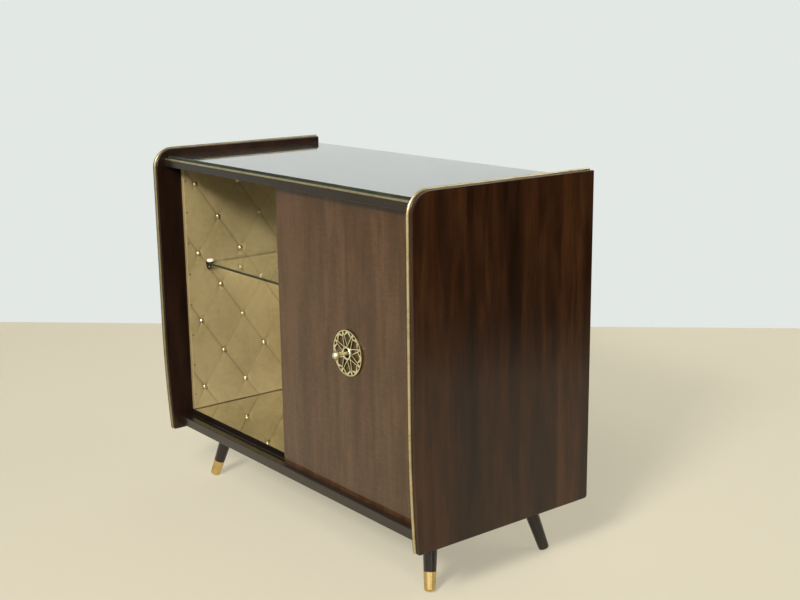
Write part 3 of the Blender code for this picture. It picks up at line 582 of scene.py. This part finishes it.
def pad_surface(across, up, length, height, first_across):
    """Height of the tufted cover over its board's face, and how much painted shade darkens each point:
    1 in a seam, and more at the rolled edges. A seam falls or rises from stud to stud."""
    column = (across - first_across) / STUD_PITCH_ACROSS
    row = (up - FIRST_STUD_UP) / STUD_PITCH_UP
    falling = (column + row) / 2
    rising = (column - row) / 2
    seam_unit = 2 / math.hypot(1 / STUD_PITCH_ACROSS, 1 / STUD_PITCH_UP)
    near_falling = np.round(falling)
    near_rising = np.round(rising)
    from_stud_across = (column - near_falling - near_rising) * STUD_PITCH_ACROSS
    from_stud_up = (row - near_falling + near_rising) * STUD_PITCH_UP
    reach = np.hypot(from_stud_across, from_stud_up)
    turn = np.arctan2(from_stud_up, from_stud_across)
    near_stud = np.exp(-((reach / SEAM_DEEPENS_WITHIN) ** 2))
    falling_line = np.exp(-np.abs(falling - near_falling) * seam_unit / SEAM_WIDTH)
    rising_line = np.exp(-np.abs(rising - near_rising) * seam_unit / SEAM_WIDTH)
    falling_seam = falling_line * (FALLING_SEAM_DEPTH + (1 - FALLING_SEAM_DEPTH) * near_stud)
    rising_seam = rising_line * (RISING_SEAM_DEPTH + (1 - RISING_SEAM_DEPTH) * near_stud)
    dent = np.exp(-((reach / DENT_RADIUS) ** 2))
    drawn_in = 1 - (1 - falling_seam) * (1 - rising_seam) * (1 - dent)
    swell = np.abs(np.sin(math.pi * falling) * np.sin(math.pi * rising))
    pillow = 1 - PILLOW_SHARE + PILLOW_SHARE * swell
    surface = PAD_CROWN * pillow * (1 - drawn_in)
    pucker = PUCKER_HEIGHT * np.cos(PUCKERS_PER_STUD * turn) * np.exp(-reach / PUCKER_REACH)
    surface += pucker * (1 - dent)
    slice_height = first_across * SLACK_SLICE_PER_METRE
    places = zip(across.ravel() * SLACK_PER_METRE, up.ravel() * SLACK_PER_METRE)
    slack = np.array([noise.noise((u, v, slice_height)) for u, v in places]).reshape(across.shape)
    surface += SLACK_HEIGHT * (slack - 1) * (1 - drawn_in)
    edge = np.minimum(np.minimum(across, length - across), np.minimum(up, height - up))
    short = np.clip(1 - edge / PAD_EDGE_ROUND, 0, 1)
    rolled = np.sqrt(1 - short**2)
    # Painted shade for the cover's colour: darkest in the seams, and at the rolled edges
    seam_shade = np.maximum(falling_line, rising_line * RISING_SEAM_DEPTH / FALLING_SEAM_DEPTH)
    return np.clip(surface, 0, PAD_CROWN) * rolled, np.maximum(seam_shade, EDGE_SHADE * short)


def pad_mesh(name, length, height, thickness, first_across, place):
    """A closed pad, flat behind and tufted in front. place turns (across, up, out) into the cabinet's frame.
    Each cell is split along its lower diagonal, so that the seams stay sharp."""
    columns = grid_lines(length, first_across, STUD_PITCH_ACROSS)
    rows = grid_lines(height, FIRST_STUD_UP, STUD_PITCH_UP)
    across, up = np.meshgrid(columns, rows, indexing="ij")
    surface, seam_shade = pad_surface(across, up, length, height, first_across)
    out = thickness - PAD_CROWN + surface
    count_across, count_up = across.shape
    front = [place @ Vector(point) for point in zip(across.ravel(), up.ravel(), out.ravel())]

    def at(i, j):
        return i * count_up + j

    faces = []
    for i in range(count_across - 1):
        for j in range(count_up - 1):
            a, b, c, d = at(i, j), at(i + 1, j), at(i + 1, j + 1), at(i, j + 1)
            if out[i, j] + out[i + 1, j + 1] < out[i + 1, j] + out[i, j + 1]:
                faces += [(a, b, c), (a, c, d)]
            else:
                faces += [(a, b, d), (b, c, d)]
    border = [at(i, 0) for i in range(count_across)]
    border += [at(count_across - 1, j) for j in range(1, count_up)]
    border += [at(i, count_up - 1) for i in range(count_across - 2, -1, -1)]
    border += [at(0, j) for j in range(count_up - 2, 0, -1)]
    behind = [place @ Vector((columns[i // count_up], rows[i % count_up], 0)) for i in border]
    start = len(front)
    for k, here in enumerate(border):
        after = (k + 1) % len(border)
        faces.append((border[after], here, start + k, start + after))
    faces.append(tuple(start + k for k in reversed(range(len(border)))))
    mesh = bpy.data.meshes.new(name)
    mesh.from_pydata(front + behind, [], faces)
    values = mesh.attributes.new("seam_shade", "FLOAT", "POINT")
    values.data.foreach_set("value", np.concatenate([seam_shade.ravel(), np.zeros(len(behind))]))
    bm = bmesh.new()
    bm.from_mesh(mesh)
    bmesh.ops.recalc_face_normals(bm, faces=bm.faces)
    bm.to_mesh(mesh)
    bm.free()
    mesh.polygons.foreach_set("use_smooth", [True] * len(mesh.polygons))
    mesh.set_sharp_from_angle(angle=PAD_SHARP_ANGLE)
    return mesh


def bored(mesh, name, clips, side):
    """The pad's mesh with a hole for the pin of each shelf clip. The end of a pin is the outermost part
    of its clip, and gives the hole's middle and radius."""
    pad = bpy.data.objects.new(name + "_solid", mesh)
    bpy.context.scene.collection.objects.link(pad)
    cutters = []
    for clip in clips:
        tips = [vertex.co for vertex in NODES[clip].data.vertices]
        outermost = max(side * tip.x for tip in tips)
        pin = [tip for tip in tips if side * tip.x > outermost - PIN_END_WITHIN]
        middle = sum(pin, Vector()) / len(pin)
        radius = max((tip - middle).length for tip in pin) + PIN_CLEARANCE
        bm = bmesh.new()
        turn = Matrix.Translation(middle) @ Matrix.Rotation(math.pi / 2, 4, "Y")
        bmesh.ops.create_cone(
            bm, cap_ends=True, segments=HOLE_SEGMENTS,
            radius1=radius, radius2=radius, depth=HOLE_LENGTH, matrix=turn,
        )
        hole = bpy.data.meshes.new(clip + "_hole")
        bm.to_mesh(hole)
        bm.free()
        cutter = bpy.data.objects.new(clip + "_hole", hole)
        bpy.context.scene.collection.objects.link(cutter)
        cut = pad.modifiers.new(clip, "BOOLEAN")
        cut.object = cutter
        cut.solver = "EXACT"
        cutters.append(cutter)
    graph = bpy.context.evaluated_depsgraph_get()
    done = bpy.data.meshes.new_from_object(pad.evaluated_get(graph))
    for helper in cutters + [pad]:
        bpy.data.objects.remove(helper)
    return done


def dome(bm, centre, facing, radius, height):
    """A domed head with a short rim that is sunk a little in what it is driven into."""
    turn = facing.to_track_quat("Z", "X").to_matrix()
    rings = [(radius, -FASTENER_SUNK)]
    for step in range(DOME_RINGS):
        angle = math.pi / 2 * step / DOME_RINGS
        rings.append((radius * math.cos(angle), height * math.sin(angle)))
    loops = []
    for ring_radius, rise in rings:
        loop = []
        for k in range(DOME_SEGMENTS):
            around = 2 * math.pi * k / DOME_SEGMENTS
            local = Vector((ring_radius * math.cos(around), ring_radius * math.sin(around), rise))
            loop.append(bm.verts.new(centre + turn @ local))
        loops.append(loop)
    for lower, upper in zip(loops, loops[1:]):
        for k in range(DOME_SEGMENTS):
            after = (k + 1) % DOME_SEGMENTS
            bm.faces.new((lower[k], lower[after], upper[after], upper[k]))
    top = bm.verts.new(centre + turn @ Vector((0, 0, height)))
    for k in range(DOME_SEGMENTS):
        bm.faces.new((loops[-1][k], loops[-1][(k + 1) % DOME_SEGMENTS], top))
    bm.faces.new(tuple(reversed(loops[0])))


def domes(name, heads, radius, height):
    """One mesh of domed heads, given as centres and the directions that they face."""
    bm = bmesh.new()
    for centre, facing in heads:
        dome(bm, centre, facing, radius, height)
    mesh = bpy.data.meshes.new(name)
    bm.to_mesh(mesh)
    bm.free()
    mesh.polygons.foreach_set("use_smooth", [True] * len(mesh.polygons))
    mesh.set_sharp_from_angle(angle=DOME_SHARP_ANGLE)
    return mesh


def stud_places(length, height, first_across):
    """Places of the studs on a pad that lie clear of its edges: every other crossing of the lattice."""
    places = []
    low = math.ceil((STUD_CLEAR_OF_EDGE - first_across) / STUD_PITCH_ACROSS)
    high = math.floor((length - STUD_CLEAR_OF_EDGE - first_across) / STUD_PITCH_ACROSS)
    top = math.floor((height - STUD_CLEAR_OF_EDGE - FIRST_STUD_UP) / STUD_PITCH_UP)
    for column in range(low, high + 1):
        for row in range(top + 1):
            if (column + row) % 2 == 0:
                across = first_across + column * STUD_PITCH_ACROSS
                places.append((across, FIRST_STUD_UP + row * STUD_PITCH_UP))
    return places


def clip_name(end, side_name):
    """The CAD node of a shelf clip."""
    return "shelf_clip_%s_%s" % (end, side_name)


def add_lining(name, place, length, height, thickness, first_across, finishes, clips=(), side=0):
    """A padded lining in place of its CAD solid, with its dome studs."""
    mesh = pad_mesh(name + "_pad", length, height, thickness, first_across, place)
    if clips:
        mesh = bored(mesh, name, clips, side)
    pad = piece(name + "_pad", mesh, finishes["leatherette"], CARCASS)
    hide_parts(name)
    out = place.to_3x3().col[2]
    board = thickness - PAD_CROWN
    heads = [(place @ Vector((u, v, board)), out) for u, v in stud_places(length, height, first_across)]
    studs = domes(name + "_studs", heads, STUD_RADIUS, STUD_HEIGHT)
    piece(name + "_studs", studs, finishes["studs"], CARCASS)


def add_linings(finishes):
    """The two side linings and the back lining, each in its CAD solid's box."""
    for name, side in SIDES:
        lining = name + "_lining"
        low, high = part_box(lining)
        length = high.y - low.y
        height = high.z - low.z
        thickness = high.x - low.x
        wall = low.x if side < 0 else high.x
        place = Matrix(((0, 0, -side, wall), (1, 0, 0, low.y), (0, 1, 0, low.z), (0, 0, 0, 1)))
        clips = [clip_name(end, name) for end in ENDS]
        add_lining(lining, place, length, height, thickness, FIRST_STUD_IN, finishes, clips, side)
        add_tacks(name, place, height, thickness, finishes)
    low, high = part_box("back_lining")
    length = high.x - low.x
    place = Matrix(((1, 0, 0, low.x), (0, 0, -1, high.y), (0, 1, 0, low.z), (0, 0, 0, 1)))
    add_lining("back_lining", place, length, high.z - low.z, high.y - low.y, length / 2, finishes)


def add_tacks(name, place, height, thickness, finishes):
    """Small tacks that hold the cover along the front edge of a side lining."""
    count = round(height / TACK_SPACING)
    step = height / count
    out = place.to_3x3().col[2]
    rise = thickness - SLACK_HEIGHT
    heads = [(place @ Vector((TACK_INSET, step * (k + 0.5), rise)), out) for k in range(count)]
    tacks = domes(name + "_lining_tacks", heads, TACK_RADIUS, TACK_HEIGHT)
    piece(name + "_lining_tacks", tacks, finishes["dark_metal"], CARCASS)


def add_clip_screws(finishes):
    """A small domed screw on the face of each shelf clip."""
    heads = []
    for name, side in SIDES:
        for end in ENDS:
            low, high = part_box(clip_name(end, name))
            face = high.x - CLIP_TONGUE_REACH if side < 0 else low.x + CLIP_TONGUE_REACH
            place = Vector((face, (low.y + high.y) / 2, low.z + CLIP_SCREW_RISE))
            heads.append((place, Vector((-side, 0, 0))))
    screws = domes("shelf_clip_screws", heads, SCREW_RADIUS, SCREW_HEIGHT)
    piece("shelf_clip_screws", screws, finishes["brass"], CARCASS)


def add_back_nails(finishes):
    """Flat nail heads round the border of the back panel."""
    low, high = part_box("back_panel")
    outside = Vector((0, 1, 0))
    heads = []
    across = high.x - low.x - 2 * NAIL_INSET
    upward = high.z - low.z - 2 * NAIL_INSET
    gaps_across = round(across / NAIL_SPACING)
    gaps_upward = round(upward / NAIL_SPACING)
    for k in range(gaps_across + 1):
        x = low.x + NAIL_INSET + across * k / gaps_across
        for z in (low.z + NAIL_INSET, high.z - NAIL_INSET):
            heads.append((Vector((x, high.y, z)), outside))
    for k in range(1, gaps_upward):
        z = low.z + NAIL_INSET + upward * k / gaps_upward
        for x in (low.x + NAIL_INSET, high.x - NAIL_INSET):
            heads.append((Vector((x, high.y, z)), outside))
    nails = domes("back_panel_nails", heads, NAIL_RADIUS, NAIL_HEIGHT)
    piece("back_panel_nails", nails, finishes["dark_metal"], CARCASS)


def add_pressed_brass(name, finish, flank_shade_finish):
    """A brass CAD piece with its sharp edges rounded, as pressing and polishing leave them.
    The faces that don't look out of the front get a much darker brass, painted shade on the flanks."""
    bm = bmesh.new()
    bm.from_mesh(NODES[name].data)
    bmesh.ops.remove_doubles(bm, verts=bm.verts, dist=SAME_POINT_WITHIN)
    bmesh.ops.dissolve_limit(bm, angle_limit=FLAT_ANGLE, verts=bm.verts, edges=bm.edges)
    sharp = [edge for edge in bm.edges if edge.calc_face_angle(0) > SHARP_EDGE_ANGLE]
    bmesh.ops.bevel(
        bm, geom=sharp, offset=BRASS_BEVEL, segments=BEVEL_SEGMENTS,
        profile=ROUND_PROFILE, affect="EDGES", clamp_overlap=True,
    )
    mesh = bpy.data.meshes.new(name + "_pressed")
    bm.to_mesh(mesh)
    bm.free()
    mesh.polygons.foreach_set("use_smooth", [True] * len(mesh.polygons))
    mesh.set_sharp_from_angle(angle=SMOOTH_ANGLE)
    made = piece(name + "_pressed", mesh, finish, FRONT_DOOR)
    mesh.materials.append(flank_shade_finish)
    # Painted shade: faces that turn away from the front take the darker brass
    for face in mesh.polygons:
        face.material_index = 0 if -face.normal.y > FLANK_TURN else 1
    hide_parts(name)


def stage_finish(name, colour, glow, black_from=None):
    """A matt stage surface, clear from behind. glow is the share of it that eyes, metal and glass see
    unshaded. With black_from, its colour fades upward from the floor and is black from that height on."""
    finish = Finish(name)
    if black_from:
        rise = finish.node("SeparateXYZ", {"Vector": finish.place}).outputs["Z"]
        colour = finish.ramp(finish.spread(rise, 0.0, black_from), (0.0, colour), (1.0, BLACK))
    finish.surface(Base_Color=colour, Roughness=STAGE_ROUGHNESS)
    path = finish.node("LightPath").outputs
    seen = finish.math("MAXIMUM", path["Is Camera Ray"], path["Is Glossy Ray"])
    seen = finish.math("MAXIMUM", seen, path["Is Transmission Ray"])
    unshaded = finish.node("Emission", {"Color": colour}).outputs[0]
    share = finish.math("MULTIPLY", seen, glow)
    lit = finish.node("MixShader", {0: share, 1: finish.shader.outputs[0], 2: unshaded}).outputs[0]
    behind = finish.node("NewGeometry").outputs["Backfacing"]
    clear = finish.node("BsdfTransparent").outputs[0]
    shown = finish.node("MixShader", {0: behind, 1: lit, 2: clear}).outputs[0]
    finish.put(finish.tree.nodes["Material Output"].inputs["Surface"], shown)
    return finish.material


def stage_plane(name, width, height, place, finish):
    """A flat stage piece, which faces its own +Z."""
    mesh = bpy.data.meshes.new(name)
    corners = [(-1, -1), (1, -1), (1, 1), (-1, 1)]
    points = [place @ Vector((x * width / 2, y * height / 2, 0)) for x, y in corners]
    mesh.from_pydata(points, [], [(0, 1, 2, 3)])
    mesh.materials.append(finish)
    made = bpy.data.objects.new(name, mesh)
    bpy.context.scene.collection.objects.link(made)
    return made


def upright(x, y, z, facing_azimuth):
    """Where an upright stage plane stands. Its +Z faces so many degrees to the right of the front."""
    facing = math.radians(facing_azimuth)
    out = Vector((math.sin(facing), -math.cos(facing), 0))
    side = Vector((math.cos(facing), math.sin(facing), 0))
    turn = Matrix((side, Vector((0, 0, 1)), out)).transposed()
    return Matrix.Translation((x, y, z)) @ turn.to_4x4()


def add_stage():
    """A pale floor, a pale wall behind, and a card right of the cabinet that shows only in its gloss.
    The card takes the floor's reflection on a little way up, and is black above."""
    floor_finish = stage_finish("stage_floor", FLOOR_COLOUR, FLOOR_GLOW)
    wall_finish = stage_finish("stage_wall", WALL_COLOUR, FULL_GLOW)
    card_finish = stage_finish("stage_card", CARD_COLOUR, FULL_GLOW, CARD_BLACK_FROM)
    stage_plane("stage_floor", 2 * FLOOR_HALF, 2 * FLOOR_HALF, Matrix.Identity(4), floor_finish)
    wall_place = upright(*WALL_POINT, WALL_HEIGHT / 2, WALL_NORMAL_AZIMUTH)
    stage_plane("stage_wall", 2 * WALL_HALF, WALL_HEIGHT, wall_place, wall_finish)
    card_place = upright(*CARD_PLACE, CARD_FACING_AZIMUTH)
    card = stage_plane("stage_card", *CARD_SIZE, card_place, card_finish)
    card.visible_camera = False
    card.visible_diffuse = False
    card.visible_shadow = False


def add_world():
    """An even room light. Eyes and glass see it as the pale wall, and gloss as a dim room."""
    world = bpy.data.worlds.new("room")
    world.use_nodes = True
    bpy.context.scene.world = world
    tree = world.node_tree
    room = tree.nodes["Background"]
    room.inputs["Color"].default_value = ROOM_COLOUR
    room.inputs["Strength"].default_value = ROOM_LIGHT
    path = tree.nodes.new("ShaderNodeLightPath")
    shown = room.outputs[0]
    seen = {
        "Is Glossy Ray": ROOM_IN_GLOSS,
        "Is Transmission Ray": ROOM_IN_SIGHT,
        "Is Camera Ray": ROOM_IN_SIGHT,
    }
    for ray, strength in seen.items():
        pale = tree.nodes.new("ShaderNodeBackground")
        pale.inputs["Color"].default_value = WALL_COLOUR
        pale.inputs["Strength"].default_value = strength
        mixed = tree.nodes.new("ShaderNodeMixShader")
        tree.links.new(path.outputs[ray], mixed.inputs[0])
        tree.links.new(shown, mixed.inputs[1])
        tree.links.new(pale.outputs[0], mixed.inputs[2])
        shown = mixed.outputs[0]
    tree.links.new(shown, tree.nodes["World Output"].inputs["Surface"])


def add_lamp(name, place, aim, size, watts, colour, beam=OPEN_BEAM):
    """A soft rectangular lamp. size is its width and height."""
    lamp = bpy.data.lights.new(name, "AREA")
    lamp.shape = "RECTANGLE"
    lamp.size, lamp.size_y = size
    lamp.energy = watts
    lamp.spread = math.radians(beam)
    lamp.color = colour
    made = bpy.data.objects.new(name, lamp)
    made.location = place
    made.rotation_mode = "QUATERNION"
    made.rotation_quaternion = (Vector(aim) - Vector(place)).to_track_quat("-Z", "Y")
    bpy.context.scene.collection.objects.link(made)


def add_lamps():
    """A key lamp behind the camera and one high above it, with narrow beams that spare the floor below them,
    a slim lamp right of the camera, and a fill lamp at the back."""
    add_lamp("key", (2.1, -4.12, 3.3), LAMP_AIM, (1.2, 0.8), 87, WARM_WHITE, NARROW_BEAM)
    add_lamp("high", (2.3, -4.14, 5.5), LAMP_AIM, (2.5, 2.5), 59, WARM_WHITE, NARROW_BEAM)
    add_lamp("slim", (3.1, -0.9, 1.15), LAMP_AIM, (0.22, 1.0), 15, WARM_WHITE)
    add_lamp("fill", (1.9, 2.5, 2.3), FILL_AIM, (1.6, 1.6), 32, NEUTRAL_WHITE)


def add_camera():
    """The camera that took the photograph."""
    data = bpy.data.cameras.new("photo_camera")
    data.sensor_fit = "HORIZONTAL"
    data.sensor_width = SENSOR_WIDTH_MM
    data.lens = FOCAL_LENGTH_PIXELS * SENSOR_WIDTH_MM / IMAGE_WIDTH_PIXELS
    camera = bpy.data.objects.new("photo_camera", data)
    bpy.context.scene.collection.objects.link(camera)
    azimuth = math.radians(CAMERA_AZIMUTH)
    elevation = math.radians(CAMERA_ELEVATION)
    level = math.cos(elevation)
    aim = Vector((-math.sin(azimuth) * level, math.cos(azimuth) * level, -math.sin(elevation)))
    roll = Quaternion((0, 0, 1), math.radians(CAMERA_ROLL))
    camera.location = CAMERA_PLACE
    camera.rotation_mode = "QUATERNION"
    camera.rotation_quaternion = aim.to_track_quat("-Z", "Y") @ roll
    bpy.context.scene.camera = camera


def main():
    """Dresses the frame, adds the pieces, and sets the stage."""
    bpy.context.scene.view_settings.view_transform = "Standard"
    finishes, by_node = node_finishes()
    dress_nodes(by_node, glass_edge_finish())
    add_linings(finishes)
    add_clip_screws(finishes)
    add_back_nails(finishes)
    for name in ("rosette", "rosette_hub"):
        add_pressed_brass(name, by_node[name], by_node["knob_nut"])
    add_stage()
    add_world()
    add_lamps()
    add_camera()


main()
